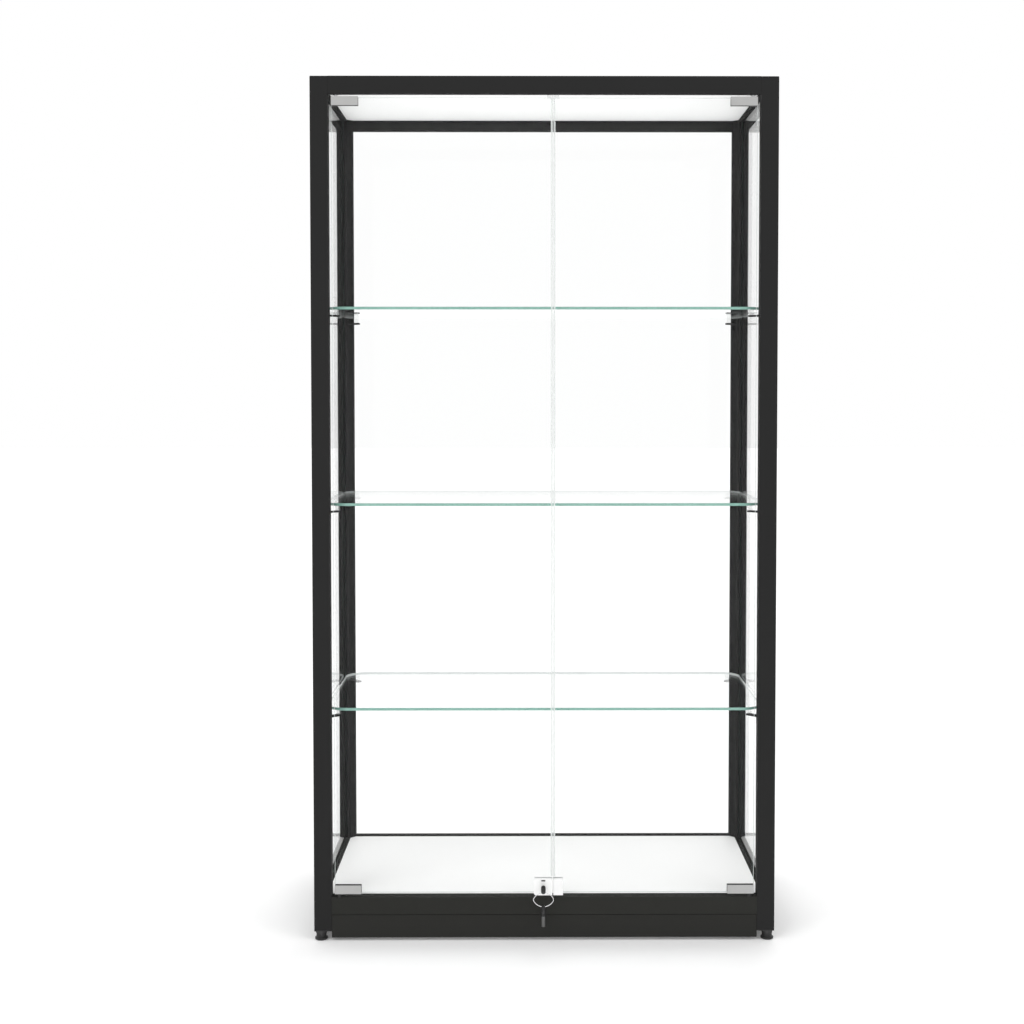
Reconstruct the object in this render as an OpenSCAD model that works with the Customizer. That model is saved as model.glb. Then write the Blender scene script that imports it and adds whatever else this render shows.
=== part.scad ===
// Upright display case: an aluminium frame glazed on three sides, glass shelves,
// and a pair of pivoted glass doors with a lock. X runs along the width, Y runs
// back from the doors, Z is up. The origin is on the floor, under the middle of
// the whole object with its key in the lock.

/* [Overall] */
// Width over the posts
case_w = 1000; // [800:10:1200]
// Depth over the posts
case_d = 500; // [400:10:600]
// Height to the top of the frame
case_h = 1864; // [1600:1:2000]

/* [Frame] */
// Side of the square post section
post_s = 38; // [38:1:40]
// Thickness of a rail, which is also where the chamfer of a post starts
rail_t = 26.5; // [26:0.5:28]
// Height of a rail
rail_h = 38; // [38:1:42]
// Wall of the extrusions
wall = 2; // [2:0.1:2.4]
// Distance from an outer face to a pane's groove
groove_in = 13.6; // [13:0.1:15]
// Width of a pane's groove
groove_w = 5.8; // [5.6:0.1:6.2]
// Depth of a pane's groove
groove_deep = 10; // [9:0.5:11]
// Height of the display floor
deck_z = 96; // [90:1:110]
// Height of the kick boards' lower edge
kick_z = 7; // [5:1:12]
// Lower end of the posts, under their foot inserts
post_z = 21; // [18:1:24]

/* [Panels] */
// Thickness of the display floor
deck_t = 16; // [12:1:18]
// Thickness of the ceiling panel
ceiling_t = 12; // [9:1:12]
// Thickness of the fixed panes and the doors
pane_t = 5; // [4:0.5:5]
// Thickness of a kick board
kick_t = 16; // [12:1:18]

/* [Shelves] */
// Thickness of a glass shelf
shelf_t = 6; // [5:1:8]
// Height of the lower shelf's top face
shelf_low_z = 504; // [450:1:550]
// Height of the middle shelf's top face
shelf_mid_z = 951; // [900:1:1000]
// Height of the upper shelf's top face
shelf_top_z = 1376; // [1300:1:1450]
// Radius of a shelf's corners
shelf_r = 50; // [40:5:70]
// Height of the clear pad that a shelf lies on
pad_h = 11; // [8:1:14]

/* [Doors] */
// Where the doors meet, measured from the middle of the case
meet_x = 18.5; // [0:0.5:30]
// Gap between the doors' glass edges
meet_gap = 3; // [2:0.5:4]
// Gap between a post and a door
side_gap = 7; // [6:0.5:9]
// Gap between the display floor and the doors' glass
door_gap_low = 8.8; // [8:0.1:10]
// Gap between the doors' glass and the top rail
door_gap_top = 7.2; // [6:0.1:9]
// Length of a pivot clamp
clamp_w = 57.5; // [50:0.5:65]
// Height of a pivot clamp
clamp_h = 19; // [18:0.5:22]
// Radius of a pivot pin
pin_r = 3; // [2.5:0.1:3]

/* [Lock] */
// Width of the lock body
lock_w = 40; // [38:1:44]
// Height of the lock body and the strike
lock_h = 35; // [34:1:38]
// Width of the strike
strike_w = 21; // [18:1:26]
// Radius of the lock's plug
plug_r = 7; // [6.5:0.5:8]
// Radius of a key's tubular shank
shank_r = 4.3; // [4:0.1:4.5]
// Radius of a key's moulded head
bow_r = 9; // [8.8:0.1:9.6]
// Thickness of a key's moulded head
bow_t = 10; // [9.5:0.5:10.5]
// Length of a key's shank outside its head
shank_l = 22.5; // [20:0.5:26]
// Width of the wire key ring
ring_w = 45; // [42:1:48]
// Height of the wire key ring
ring_h = 32; // [29:1:34]

/* [Feet] */
// Radius of a levelling foot's pad
foot_r = 14; // [13:0.5:14]
// Length of a levelling foot's stud
stud_l = 30; // [24:1:32]

/* [Hidden] */
$fn = 48;
eps = 0.01;
half_w = case_w / 2;
clear_post_x = half_w - post_s;

// Post and rail sections.
core_in = wall + 0.2;
core_s = 23.6;
core_mid = core_in + core_s / 2;
pocket_s = min(post_s - core_in - core_s - 2 * wall, groove_in - wall - core_in);
groove_end = groove_in + groove_w;
top_rail_z = case_h - rail_h;
bottom_rail_z = deck_z - rail_h;
lip_v = 18;
lip_t = 3.5;
tongue_h = 15;
ledge_w = 5.4;
cap_t = wall + 0.5;
plug_play = 0.1;

// Panels and fixed panes.
ceiling_z = case_h - lip_v + lip_t;
panel_play = 0.5;
pane_play = (groove_w - pane_t) / 2;
pane_in = groove_in + pane_play;
pane_edge = 1.5;
pane_z0 = deck_z - groove_deep + 1;
pane_z1 = case_h - 11;
gasket_hold = 9.3;
kick_seam = 1;

// Shelves and their brackets, measured along the diagonal of a corner.
shelf_x = half_w - 22;
shelf_y0 = 30;
shelf_y1 = case_d - 26;
chamfer_at = (rail_t + post_s) / 2 * sqrt(2);
arm_tip = 76;
arm_w = 10;
arm_t = 4;
bracket_pad_at = arm_tip - 6;
bracket_pad_r = 4.5;

// Doors and their clamps.
glass_y = 3.8;
glass_back_y = glass_y + pane_t;
pivot_y = glass_y + pane_t / 2;
door_x = clear_post_x - side_gap;
door_z = deck_z + door_gap_low;
door_top_z = top_rail_z - door_gap_top;
meet_left_x = meet_x - meet_gap / 2;
meet_right_x = meet_x + meet_gap / 2;
pivot_x = door_x - 10;
bush_r = 4.2;
lining_t = 1.8;
thin_lining_t = 0.3;
clamp_front_y = 0.6;
clamp_back_y = 12.5;
clamp_web = 2;
clamp_play = 0.2;
clamp_top_z = door_top_z + clamp_play + clamp_web;
clamp_low_z = door_z - clamp_play - clamp_web;
screw_r = 2.5;
screw_in = 14;

// Lock, strike and bolt.
lock_front_y = -9;
lock_step_y = -1;
lock_low_z = clamp_low_z;
lock_x = meet_left_x - lock_w;
lock_screw_in = 8;
lock_screw_z = lock_low_z + lock_h - 7;
strike_x = meet_right_x - 0.8;
key_x = -2.5;
key_z = lock_low_z + 17;
bolt_y = -0.5;
bolt_t = 2.4;
bolt_play = 0.2;
crank_r = 5;

// Feet.
neck_r = 11;
shoulder_z = 11.5;
stud_r = 4;

// Keys and ring. The ring hangs in the eye of one key and carries the other.
shank_wall = 1.2;
wire_r = 0.8;
wire_sides = 8;
ring_tight = [9, 3];
bow_fillet = 4.4;
hub_l = bow_r + 5;
eye_r = 2.4;
eye_hang = 0.8;
eye_in = bow_r - eye_r - 1;
plug_nose_y = lock_front_y - 0.6;
bow_gap = 6.4;
bow_y = plug_nose_y - bow_gap - bow_r;
key_reach = bow_r - bow_y;
eye_z = key_z - eye_in;
ring_top_z = eye_z - eye_hang;
ring_low_z = ring_top_z - ring_h + 2 * wire_r;
spare_eye_z = ring_low_z - eye_hang;
spare_bow_z = spare_eye_z - eye_in;

// The middle of the depth, with the key in the lock, is at Y = 0.
front_y = -(case_d - key_reach) / 2;

// ---- Helpers ----

// Moves children from the front plane of the frame to their place in the part.
module from_front() {
    translate([0, front_y, 0]) children();
}

// Repeats children mirrored to the right-hand side of the case.
module both_sides() {
    children();
    mirror([1, 0, 0]) children();
}

// Puts children, drawn for the front left corner with the corner at the origin,
// at the corner given by its side (-1 left, 1 right) and end (0 front, 1 rear).
module at_corner(side, end) {
    from_front()
        translate([side * half_w, end * case_d, 0])
            mirror([side > 0 ? 1 : 0, 0, 0])
                mirror([0, end, 0])
                    children();
}

// Puts children at all four corners.
module at_corners() {
    for (side = [-1, 1], end = [0, 1]) at_corner(side, end) children();
}

// A block from one corner point to the opposite one.
module block(low, high) {
    translate(low) cube(high - low);
}

// ---- Frame ----

// Outline of the post: square, with the corner inside the case chamfered.
module post_outline() {
    polygon([[0, 0], [post_s, 0], [post_s, rail_t], [rail_t, post_s], [0, post_s]]);
}

// Section of the post extrusion, with one groove or two.
module post_section(back_groove) {
    difference() {
        post_outline();
        translate([core_in, core_in]) square(core_s);
        translate([post_s - wall - pocket_s, core_in]) square(pocket_s);
        translate([core_in, post_s - wall - pocket_s]) square(pocket_s);
        translate([groove_in, post_s - groove_deep]) square([groove_w, groove_deep + 1]);
        if (back_groove)
            translate([post_s - groove_deep, groove_in]) square([groove_deep + 1, groove_w]);
    }
}

// Windows in the post walls that the tongues of the corner connectors pass.
module tongue_windows(z) {
    top = z + tongue_h + 2;
    block([core_in + core_s - 1, core_in, z], [post_s + 1, core_in + pocket_s, top]);
    block([core_in, core_in + core_s - 1, z], [core_in + pocket_s, post_s + 1, top]);
}

module post(side, end) {
    base = post_z + wall;
    top = case_h - cap_t;
    color([0.16, 0.16, 0.16]) at_corner(side, end)
        difference() {
            translate([0, 0, base]) linear_extrude(top - base) post_section(end == 1);
            tongue_windows(bottom_rail_z + 4);
            tongue_windows(top_rail_z + 12);
        }
}

module post_front_left() { post(-1, 0); }
module post_front_right() { post(1, 0); }
module post_rear_left() { post(-1, 1); }
module post_rear_right() { post(1, 1); }

// Square plug that fills the core of a post between two heights.
module core_plug(z0, z1) {
    block(
        [core_in + plug_play, core_in + plug_play, z0],
        [core_in + core_s - plug_play, core_in + core_s - plug_play, z1]
    );
}

// Flat cap with a plug that closes the upper end of a post.
module post_caps() {
    color([0.14, 0.14, 0.14]) at_corners() {
        translate([0, 0, case_h - cap_t]) linear_extrude(cap_t) post_outline();
        core_plug(case_h - cap_t - 7, case_h - cap_t + eps);
    }
}

// Section of a top rail. The first axis runs in from the outer face, the second down.
module top_rail_section() {
    difference() {
        polygon([
            [0, 0], [groove_end + wall, 0], [groove_end + wall, lip_v - lip_t],
            [rail_t, lip_v - lip_t], [rail_t, lip_v], [groove_end, lip_v], [groove_end, 8],
            [groove_in, 8], [groove_in, rail_h], [0, rail_h]
        ]);
        translate([wall, wall]) square([groove_in - 2 * wall, rail_h - 2 * wall]);
        translate([groove_in, wall]) square([groove_w, 8 - 2 * wall]);
    }
}

// Section of a bottom rail, with its ledge for the floor panel.
module bottom_rail_section(groove) {
    core_top = groove ? groove_deep + wall : wall;
    beside_groove = rail_t - groove_end - 2 * wall;
    difference() {
        union() {
            square([rail_t, rail_h]);
            translate([0, deck_t]) square([rail_t + ledge_w, wall]);
        }
        if (groove && beside_groove > 2 * wall)
            translate([groove_end + wall, wall]) square([beside_groove, groove_deep - wall]);
        if (groove) {
            translate([groove_in, -1]) square([groove_w, groove_deep + 1]);
            translate([wall, wall]) square([groove_in - 2 * wall, groove_deep - wall]);
        }
        translate([wall, core_top]) square([rail_t - 2 * wall, rail_h - wall - core_top]);
    }
}

// Lays a rail of a section along X behind the front plane, its top face at z.
module rail_along_x(z) {
    translate([-clear_post_x, 0, z])
        rotate([90, 0, 90])
            linear_extrude(2 * clear_post_x)
                mirror([0, 1]) children();
}

// Lays a rail of a section along Y inside the left face, its top face at z.
module rail_along_y(z) {
    translate([-half_w, case_d - post_s, z])
        rotate([90, 0, 0])
            linear_extrude(case_d - 2 * post_s)
                mirror([0, 1]) children();
}

// Turns a front rail round to the back of the case.
module at_back() {
    translate([0, case_d, 0]) mirror([0, 1, 0]) children();
}

module top_rail_front() {
    color([0.16, 0.16, 0.16]) from_front()
        difference() {
            rail_along_x(case_h) top_rail_section();
            for (side = [-1, 1])
                translate([side * pivot_x, pivot_y, top_rail_z - 1])
                    cylinder(r = bush_r + 0.05, h = wall + 2);
        }
}

module top_rail_rear() {
    color([0.17, 0.17, 0.17]) from_front() at_back() rail_along_x(case_h) top_rail_section();
}

module top_rail_left() {
    color([0.16, 0.16, 0.16]) from_front() rail_along_y(case_h) top_rail_section();
}

module top_rail_right() {
    mirror([1, 0, 0]) top_rail_left();
}

module bottom_rail_front() {
    color([0.17, 0.17, 0.16]) from_front()
        difference() {
            rail_along_x(deck_z) bottom_rail_section(false);
            for (side = [-1, 1])
                translate([side * pivot_x, pivot_y, deck_z - wall - 1])
                    cylinder(r = bush_r + 0.05, h = wall + 2);
        }
}

module bottom_rail_rear() {
    color([0.17, 0.17, 0.16])
        from_front() at_back() rail_along_x(deck_z) bottom_rail_section(true);
}

module bottom_rail_left() {
    color([0.17, 0.17, 0.16]) from_front() rail_along_y(deck_z) bottom_rail_section(true);
}

module bottom_rail_right() {
    mirror([1, 0, 0]) bottom_rail_left();
}

// Three-way connector: a block in a post's core, with a tongue into each rail.
module corner_connector(z) {
    play = 0.3;
    reach = 30;
    low = core_in + play;
    side = pocket_s - 2 * play;
    block([low, low, z], [core_in + core_s - play, core_in + core_s - play, z + tongue_h]);
    block([low, low, z], [post_s + reach, low + side, z + tongue_h]);
    block([low, low, z], [low + side, post_s + reach, z + tongue_h]);
}

module corner_connectors() {
    color([0.6, 0.6, 0.62]) at_corners() {
        corner_connector(bottom_rail_z + 5);
        corner_connector(top_rail_z + 13);
    }
}

// ---- Plinth, floor and ceiling ----

module kick_board(long) {
    top = bottom_rail_z - kick_seam;
    block([-long / 2, kick_seam, kick_z], [long / 2, kick_seam + kick_t, top]);
}

module kick_board_front() {
    color([0.2, 0.2, 0.19]) from_front() kick_board(2 * clear_post_x);
}

module kick_board_rear() {
    color([0.2, 0.2, 0.19]) from_front() at_back() kick_board(2 * clear_post_x);
}

module kick_board_left() {
    color([0.2, 0.2, 0.19]) from_front()
        translate([-half_w, case_d / 2, 0])
            rotate([0, 0, -90])
                kick_board(case_d - 2 * post_s);
}

module kick_board_right() {
    mirror([1, 0, 0]) kick_board_left();
}

// Outline of a panel round the middle of the case. Its edges are set in from the
// frame's outer faces, and its corners are cut back along the posts' chamfers.
module panel_outline(edge_in) {
    x = half_w - edge_in;
    y = case_d / 2 - edge_in;
    corner_x = half_w - post_s - panel_play - 0.3;
    corner_y = case_d / 2 - post_s - panel_play - 0.3;
    cut = corner_x + case_d / 2 - rail_t - panel_play;
    bend_x = min(x, cut - corner_y);
    quarter = concat(
        [[corner_x, y], [corner_x, cut - corner_x], [bend_x, cut - bend_x]],
        x > bend_x + eps ? [[x, cut - bend_x]] : []
    );
    last = len(quarter) - 1;
    polygon([
        each quarter,
        for (i = [last:-1:0]) [quarter[i][0], -quarter[i][1]],
        for (i = [0:1:last]) -quarter[i],
        for (i = [last:-1:0]) [-quarter[i][0], quarter[i][1]]
    ]);
}

module panel(edge_in, z, t) {
    from_front()
        translate([0, case_d / 2, z])
            linear_extrude(t)
                panel_outline(edge_in + panel_play);
}

module deck_panel() {
    color([0.95, 0.95, 0.94]) panel(rail_t, deck_z - deck_t, deck_t);
}

module ceiling_panel() {
    color([0.95, 0.95, 0.94]) panel(groove_end + wall, ceiling_z, ceiling_t);
}

// ---- Fixed glass ----

// A pane in the YZ plane, at the left side.
module side_pane(grow_t, grow_edge) {
    y0 = post_s - groove_deep + pane_edge;
    block(
        [-half_w + pane_in - grow_t, y0 - grow_edge, pane_z0 - grow_edge],
        [-half_w + pane_in + pane_t + grow_t, case_d - y0 + grow_edge, pane_z1 + grow_edge]
    );
}

// The pane at the back.
module back_pane(grow_t, grow_edge) {
    x1 = clear_post_x + groove_deep - pane_edge;
    y = case_d - pane_in;
    block(
        [-x1 - grow_edge, y - pane_t - grow_t, pane_z0 - grow_edge],
        [x1 + grow_edge, y + grow_t, pane_z1 + grow_edge]
    );
}

module side_glass_left() {
    color([0.8, 0.9, 0.88, 0.35]) from_front() side_pane(0, 0);
}

module side_glass_right() {
    mirror([1, 0, 0]) side_glass_left();
}

module back_glass() {
    color([0.8, 0.9, 0.88, 0.35]) from_front() back_pane(0, 0);
}

// Rubber channel round the edge of each fixed pane, standing just out of its groove.
module glazing_gaskets() {
    color([0.06, 0.06, 0.06]) from_front() {
        both_sides() difference() {
            side_pane(pane_play, 0.5);
            side_pane(0, 0);
            side_pane(1, -gasket_hold);
        }
        difference() {
            back_pane(pane_play, 0.5);
            back_pane(0, 0);
            back_pane(1, -gasket_hold);
        }
    }
}

// ---- Shelves ----

module shelf(z) {
    color([0.6, 0.8, 0.74, 0.45]) from_front()
        translate([0, 0, z - shelf_t])
            linear_extrude(shelf_t) {
                mid_y = (shelf_y0 + shelf_y1) / 2;
                square_y = shelf_y1 - shelf_y0;
                translate([0, mid_y]) square([2 * (shelf_x - shelf_r), square_y], center = true);
                translate([0, mid_y]) square([2 * shelf_x, square_y - 2 * shelf_r], center = true);
                for (side = [-1, 1], y = [shelf_y0 + shelf_r, shelf_y1 - shelf_r])
                    translate([side * (shelf_x - shelf_r), y]) circle(r = shelf_r, $fn = 96);
            }
}

module shelf_upper() { shelf(shelf_top_z); }
module shelf_middle() { shelf(shelf_mid_z); }
module shelf_lower() { shelf(shelf_low_z); }

// Angle bracket on the chamfer of a post: a plate on the face and an arm inwards.
module shelf_bracket(z) {
    arm_z = z - shelf_t - pad_h - arm_t;
    rotate([0, 0, 45]) {
        block([chamfer_at, -6, arm_z - 14], [chamfer_at + 2, 6, arm_z + arm_t + 8]);
        block([chamfer_at, -arm_w / 2, arm_z], [arm_tip, arm_w / 2, arm_z + arm_t]);
    }
}

module shelf_brackets() {
    color([0.1, 0.1, 0.1]) at_corners()
        for (z = [shelf_low_z, shelf_mid_z, shelf_top_z]) shelf_bracket(z);
}

// Clear pad between a bracket's arm and the shelf.
module bracket_pads() {
    color([0.9, 0.92, 0.92, 0.5]) at_corners()
        for (z = [shelf_low_z, shelf_mid_z, shelf_top_z])
            rotate([0, 0, 45])
                translate([bracket_pad_at, 0, z - shelf_t - pad_h])
                    cylinder(r = bracket_pad_r, h = pad_h);
}

// ---- Doors ----

module door_pane(x0, x1) {
    color([0.85, 0.93, 0.92, 0.3]) from_front()
        block([x0, glass_y, door_z], [x1, glass_back_y, door_top_z]);
}

module door_glass_left() { door_pane(-door_x, meet_left_x); }
module door_glass_right() { door_pane(meet_right_x, door_x); }

// A channel gripping the glass from its lower edge: web below, a plate on each
// face, and room for a lining between plates and glass.
module grip(x0, x1, top_z, lining, plate_y) {
    block([x0, plate_y, clamp_low_z], [x1, glass_y - lining, top_z]);
    block([x0, glass_back_y + lining, clamp_low_z], [x1, clamp_back_y, top_z]);
    block([x0, plate_y, clamp_low_z], [x1, clamp_back_y, clamp_low_z + clamp_web]);
}

// The two pads that line a grip.
module grip_lining(x0, x1, top_z, lining) {
    for (y = [glass_y - lining, glass_back_y])
        block([x0 + 0.5, y, clamp_low_z + clamp_web], [x1 - 0.5, y + lining, top_z]);
}

// Hole for a grub screw through the back plate of a grip.
module grub_hole(x, z) {
    translate([x, clamp_back_y + 1, z])
        rotate([90, 0, 0])
            cylinder(r = screw_r + 0.05, h = 6);
}

// Socket grub screw in the back plate of a grip, its end on the lining.
module grub_screw(x, z, lining) {
    length = clamp_back_y - glass_back_y - lining + 0.6;
    translate([x, glass_back_y + lining, z])
        rotate([-90, 0, 0])
            difference() {
                cylinder(r = screw_r, h = length);
                translate([0, 0, length - 1.6]) cylinder(r = 1.45, h = 2, $fn = 6);
            }
}

// Places of the grub screws along a left-hand clamp, and their height.
function clamp_screw_x() = [-door_x + screw_in, -door_x + clamp_w - screw_in];
function clamp_screw_z() = clamp_low_z + clamp_h / 2 + 1;

// Left-hand bottom clamp, with the bore for its pin in the web.
module clamp_shape() {
    difference() {
        grip(-door_x, -door_x + clamp_w, clamp_low_z + clamp_h, lining_t, clamp_front_y);
        for (x = clamp_screw_x()) grub_hole(x, clamp_screw_z());
        translate([-pivot_x, pivot_y, clamp_low_z - 1])
            cylinder(r = pin_r + 0.02, h = clamp_web + 2);
    }
}

// Turns what is drawn for the lower edge of the doors upside down to the upper edge.
module at_door_top() {
    translate([0, 0, clamp_low_z + clamp_top_z]) mirror([0, 0, 1]) children();
}

module hinge_clamp_left_bottom() {
    color([0.68, 0.68, 0.67]) from_front() clamp_shape();
}

module hinge_clamp_left_top() {
    color([0.7, 0.7, 0.69]) from_front() at_door_top() clamp_shape();
}

module hinge_clamp_right_bottom() {
    mirror([1, 0, 0]) hinge_clamp_left_bottom();
}

module hinge_clamp_right_top() {
    mirror([1, 0, 0]) hinge_clamp_left_top();
}

module clamp_lining() {
    grip_lining(-door_x, -door_x + clamp_w, clamp_low_z + clamp_h - 0.1, lining_t);
}

module clamp_pads_left() {
    color([0.1, 0.1, 0.1]) from_front() {
        clamp_lining();
        at_door_top() clamp_lining();
        grip_lining(lock_x + 1, meet_left_x, lock_low_z + lock_h - 1, thin_lining_t);
    }
}

module clamp_pads_right() {
    color([0.1, 0.1, 0.1]) from_front() {
        mirror([1, 0, 0]) clamp_lining();
        mirror([1, 0, 0]) at_door_top() clamp_lining();
        grip_lining(meet_right_x, strike_x + strike_w, lock_low_z + lock_h - 1, thin_lining_t);
    }
}

module clamp_screws() {
    for (x = clamp_screw_x()) grub_screw(x, clamp_screw_z(), lining_t);
}

module grub_screws_left() {
    color([0.45, 0.45, 0.46]) from_front() {
        clamp_screws();
        at_door_top() clamp_screws();
        for (x = [lock_x + lock_screw_in, meet_left_x - lock_screw_in])
            grub_screw(x, lock_screw_z, thin_lining_t);
    }
}

module grub_screws_right() {
    color([0.45, 0.45, 0.46]) from_front() {
        mirror([1, 0, 0]) clamp_screws();
        mirror([1, 0, 0]) at_door_top() clamp_screws();
        grub_screw(strike_x + strike_w / 2, lock_screw_z, thin_lining_t);
    }
}

// Pin pressed into a clamp's web and reaching into the rail's bush.
module lower_pin() {
    translate([-pivot_x, pivot_y, deck_z - 10])
        cylinder(r = pin_r, h = clamp_low_z + clamp_web - deck_z + 10);
}

module upper_pin() {
    translate([-pivot_x, pivot_y, clamp_top_z - clamp_web])
        cylinder(r = pin_r, h = top_rail_z + 8 - clamp_top_z + clamp_web);
}

module pivot_pins_left() {
    color([0.6, 0.6, 0.6]) from_front() {
        lower_pin();
        upper_pin();
    }
}

module pivot_pins_right() {
    mirror([1, 0, 0]) pivot_pins_left();
}

// Flanged bushes in the front rails. The lower flange carries the door.
module pivot_bushes() {
    flange_r = 6;
    low_flange = clamp_low_z - 0.1 - deck_z;
    color([0.25, 0.25, 0.26]) from_front() both_sides()
        translate([-pivot_x, pivot_y, 0]) {
            difference() {
                union() {
                    translate([0, 0, deck_z - 12]) cylinder(r = bush_r, h = 12 + eps);
                    translate([0, 0, deck_z]) cylinder(r = flange_r, h = low_flange);
                }
                translate([0, 0, deck_z - 13]) cylinder(r = pin_r + 0.05, h = 30);
            }
            difference() {
                union() {
                    translate([0, 0, top_rail_z - eps]) cylinder(r = bush_r, h = 12);
                    translate([0, 0, top_rail_z - 1.5]) cylinder(r = flange_r, h = 1.5);
                }
                translate([0, 0, top_rail_z - 2]) cylinder(r = pin_r + 0.05, h = 30);
            }
        }
}

// Clear channel on the meeting edge of the left door, above the lock.
module edge_seal() {
    skin = 0.8;
    cover = 3.5;
    z0 = lock_low_z + lock_h + 3;
    z1 = door_top_z - 1;
    difference() {
        block(
            [meet_left_x - cover, glass_y - skin, z0],
            [meet_x - 0.3, glass_back_y + skin, z1]
        );
        block([meet_left_x - cover - 1, glass_y, z0 - 1], [meet_left_x, glass_back_y, z1 + 1]);
    }
}

module door_seal_left() {
    color([0.85, 0.88, 0.87, 0.7]) from_front() edge_seal();
}

module door_seal_right() {
    color([0.85, 0.88, 0.87, 0.7]) from_front()
        translate([2 * meet_x, 0, 0]) mirror([1, 0, 0]) edge_seal();
}

// Clear block under the top rail that the backs of both doors close against.
module door_stop() {
    y0 = glass_back_y + 1.1;
    half = 13;
    color([0.88, 0.9, 0.9, 0.5]) from_front()
        block([meet_x - half, y0, top_rail_z - 8.5], [meet_x + half, y0 + 6, top_rail_z]);
}

// ---- Lock ----

// Outline of the lock's front block, with its outer corners rounded.
module lock_outline() {
    corner_r = 5;
    low = lock_low_z + corner_r;
    high = lock_low_z + lock_h - corner_r;
    translate([lock_x + corner_r, lock_low_z]) square([lock_w - corner_r, lock_h]);
    translate([lock_x, low]) square([corner_r + 1, high - low]);
    for (z = [low, high]) translate([lock_x + corner_r, z]) circle(r = corner_r);
}

// Lock body: a thick block in front of the glass with the plug's bore and the
// bolt's channel, and a grip round the glass behind it.
module lock_body() {
    bolt_end_y = bolt_y + bolt_t + bolt_play;
    bolt_start_y = bolt_y - bolt_play;
    color([0.8, 0.8, 0.8]) from_front()
        difference() {
            union() {
                translate([0, lock_step_y, 0])
                    rotate([90, 0, 0]) linear_extrude(lock_step_y - lock_front_y) lock_outline();
                grip(
                    lock_x + 1, meet_left_x, lock_low_z + lock_h - 1,
                    thin_lining_t, lock_step_y - eps
                );
            }
            for (x = [lock_x + lock_screw_in, meet_left_x - lock_screw_in])
                grub_hole(x, lock_screw_z);
            translate([key_x, bolt_start_y, key_z])
                rotate([90, 0, 0])
                    cylinder(r = plug_r + 0.08, h = 12);
            block(
                [key_x - 10.5, bolt_start_y - eps, key_z - 4.7],
                [key_x + 14.5, bolt_end_y, key_z + 8.7]
            );
            block(
                [key_x, bolt_start_y - eps, key_z - 4.2],
                [meet_left_x + 1, bolt_end_y, key_z + 4.2]
            );
            block(
                [key_x - 4.5, lock_front_y - 1, lock_low_z + lock_h - 4.8],
                [key_x + 4.5, lock_front_y + 4, lock_low_z + lock_h - 1.7]
            );
        }
}

// Plug with its ring-shaped keyway and the crank pin that drives the bolt.
module lock_plug() {
    rear_y = bolt_y - bolt_play - 0.1;
    depth = rear_y - plug_nose_y;
    color([0.72, 0.72, 0.73]) from_front() translate([key_x, 0, key_z]) {
        translate([0, rear_y, 0])
            rotate([90, 0, 0])
                difference() {
                    cylinder(r = plug_r, h = depth);
                    translate([0, 0, 1.5])
                        difference() {
                            cylinder(r = shank_r + 0.05, h = depth);
                            translate([0, 0, -1])
                                cylinder(r = shank_r - shank_wall - 0.1, h = depth + 2);
                        }
                }
        rotate([0, -45, 0])
            translate([0, bolt_y + bolt_t, crank_r])
                rotate([90, 0, 0])
                    cylinder(r = 1.2, h = bolt_y + bolt_t - rear_y + 0.5);
    }
}

// Bolt: a plate with an upright slot round the crank pin, and a tip.
module lock_bolt() {
    slot_x = key_x - crank_r / sqrt(2);
    bolt_end_y = bolt_y + bolt_t;
    color([0.6, 0.6, 0.6]) from_front()
        difference() {
            union() {
                block([key_x - 10, bolt_y, key_z - 4.5], [key_x + 6.5, bolt_end_y, key_z + 8.5]);
                block([key_x, bolt_y, key_z - 4], [meet_left_x - 0.5, bolt_end_y, key_z + 4]);
            }
            block(
                [slot_x - 1.6, bolt_y - 1, key_z + 1.9],
                [slot_x + 1.6, bolt_end_y + 1, key_z + 6.7]
            );
        }
}

// Strike on the right door, with the pocket that the bolt enters.
module strike_plate() {
    color([0.8, 0.8, 0.8]) from_front()
        difference() {
            union() {
                block(
                    [strike_x, lock_front_y, lock_low_z],
                    [strike_x + strike_w, lock_step_y, lock_low_z + lock_h]
                );
                grip(
                    strike_x, strike_x + strike_w, lock_low_z + lock_h - 1,
                    thin_lining_t, lock_step_y - eps
                );
            }
            grub_hole(strike_x + strike_w / 2, lock_screw_z);
            block(
                [strike_x - 1, bolt_y - bolt_play, key_z - 4.2],
                [strike_x + 11, bolt_y + bolt_t + bolt_play, key_z + 4.2]
            );
        }
}

// ---- Keys ----

// Half section of a key's head through its axis, with round outer edges.
module bow_section() {
    straight = bow_t - 2 * bow_fillet;
    translate([0, -bow_t / 2]) square([bow_r - bow_fillet, bow_t]);
    translate([0, -straight / 2]) square([bow_r, straight]);
    for (side = [-1, 1])
        translate([bow_r - bow_fillet, side * straight / 2]) circle(r = bow_fillet);
}

// Moulded head of a key: a disc with a hub for the shank and an eye near its rim.
// The hub runs from the disc's middle along Z. The eye is placed by Y and Z.
module key_bow(eye_y, eye_z) {
    difference() {
        union() {
            rotate([0, 90, 0]) rotate_extrude() bow_section();
            cylinder(r = bow_t / 2 - 0.2, h = hub_l);
        }
        translate([0, eye_y, eye_z])
            rotate([0, 90, 0])
                cylinder(r = eye_r, h = bow_t + 2, center = true);
        translate([0, 0, bow_r - 2]) cylinder(r = shank_r, h = hub_l);
    }
}

// Tubular shank of a key, from its seat in the head along Z.
module shank(from, to) {
    translate([0, 0, from])
        difference() {
            cylinder(r = shank_r, h = to - from);
            translate([0, 0, 3]) cylinder(r = shank_r - shank_wall, h = to - from);
        }
}

// Moves a key, drawn with its shank along +Z, into the lock.
module at_lock() {
    from_front()
        translate([key_x, bow_y, key_z])
            rotate([-90, 0, 0])
                children();
}

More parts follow.
